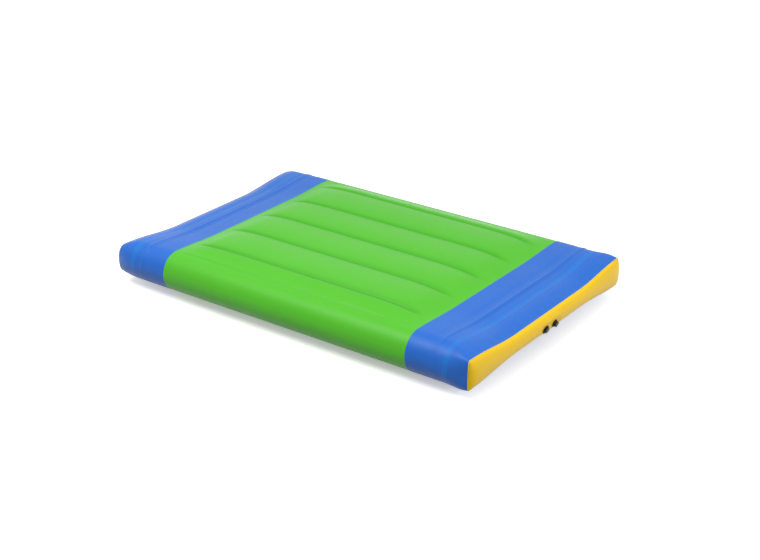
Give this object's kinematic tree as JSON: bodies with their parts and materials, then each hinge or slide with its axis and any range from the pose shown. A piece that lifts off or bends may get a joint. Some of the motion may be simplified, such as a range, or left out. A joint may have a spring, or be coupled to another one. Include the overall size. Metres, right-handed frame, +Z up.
{
  "type": "inflatable air track mat",
  "caption": "Inflatable rectangular air mat with rounded side tubes, internal lengthwise webs, contrasting end bands, bulged end panels, and an inflation valve beside a pressure relief valve.",
  "frame": {"origin": "centre of the underside, where the flat bottom of the deck rests", "axes": "+X along the mat, towards the end panel with the valves; +Y across the mat; +Z up"},
  "size_m": [3.0564, 2, 0.3818],
  "materials": {
    "green_fabric": "green PVC-coated polyester, semi-gloss",
    "blue_fabric": "blue PVC-coated polyester, semi-gloss",
    "azure_tape": "lighter blue PVC-coated tape, semi-gloss",
    "yellow_fabric": "yellow PVC-coated polyester, semi-gloss",
    "welt": "welded PVC seam tape",
    "web_fabric": "plain coated polyester web",
    "patch_fabric": "yellow PVC reinforcement patch",
    "valve_plastic": "moulded black nylon",
    "seal_rubber": "soft black rubber",
    "spring_steel": "stainless spring wire"
  },
  "bodies": {
    "mat": {"deck_skin": "green_fabric", "end_band_right": "blue_fabric", "end_band_left": "blue_fabric", "girth_tape_right": "azure_tape", "girth_tape_left": "azure_tape", "end_panel_right": "yellow_fabric", "end_panel_left": "yellow_fabric", "seam_tape_right": "welt", "seam_tape_left": "welt", "web_1": "web_fabric", "web_2": "web_fabric", "web_3": "web_fabric", "web_4": "web_fabric", "web_5": "web_fabric", "valve_patch": "patch_fabric", "inflation_valve_base": "valve_plastic", "inflation_valve_gasket": "seal_rubber", "inflation_valve_body": "valve_plastic", "inflation_valve_spring": "spring_steel", "relief_valve_base": "valve_plastic", "relief_valve_gasket": "seal_rubber", "relief_valve_body": "valve_plastic", "relief_valve_spring": "spring_steel", "relief_valve_guard": "valve_plastic"},
    "plunger": {"inflation_valve_stem": "valve_plastic", "inflation_valve_seal": "seal_rubber", "inflation_valve_poppet": "valve_plastic", "inflation_valve_clip": "spring_steel"},
    "cap_liner": {"inflation_valve_cap_liner": "seal_rubber"},
    "cap": {"inflation_valve_cap": "valve_plastic"},
    "relief_poppet": {"relief_valve_poppet": "valve_plastic", "relief_valve_seal": "seal_rubber"}
  },
  "joints": [
    {"name": "plunger_push", "type": "slide", "parent": "mat", "child": "plunger", "axis": [-0.9659, 0, 0.2588], "range_m": [0, 0.008], "stiffness_N_per_m": 300, "springref_m": -0.003, "deforming": ["inflation_valve_spring"]},
    {"name": "cap_lift", "type": "slide", "parent": "mat", "child": "cap_liner", "axis": [0.9659, 0, -0.2588], "range_m": [0, 0.008]},
    {"name": "cap_turn", "type": "hinge", "parent": "cap_liner", "child": "cap", "pos_m": [1.509, -0.0755, 0.154], "axis": [0.9659, 0, -0.2588], "range_deg": [0, 720]},
    {"name": "relief_open", "type": "slide", "parent": "mat", "child": "relief_poppet", "axis": [0.9659, 0, -0.2588], "range_m": [0, 0.004], "stiffness_N_per_m": 600, "springref_m": -0.003, "deforming": ["relief_valve_spring"]}
  ],
  "couplings": [
    {"joint": "cap_turn", "follows": "cap_lift", "rad_per_m": 1570.8}
  ]
}
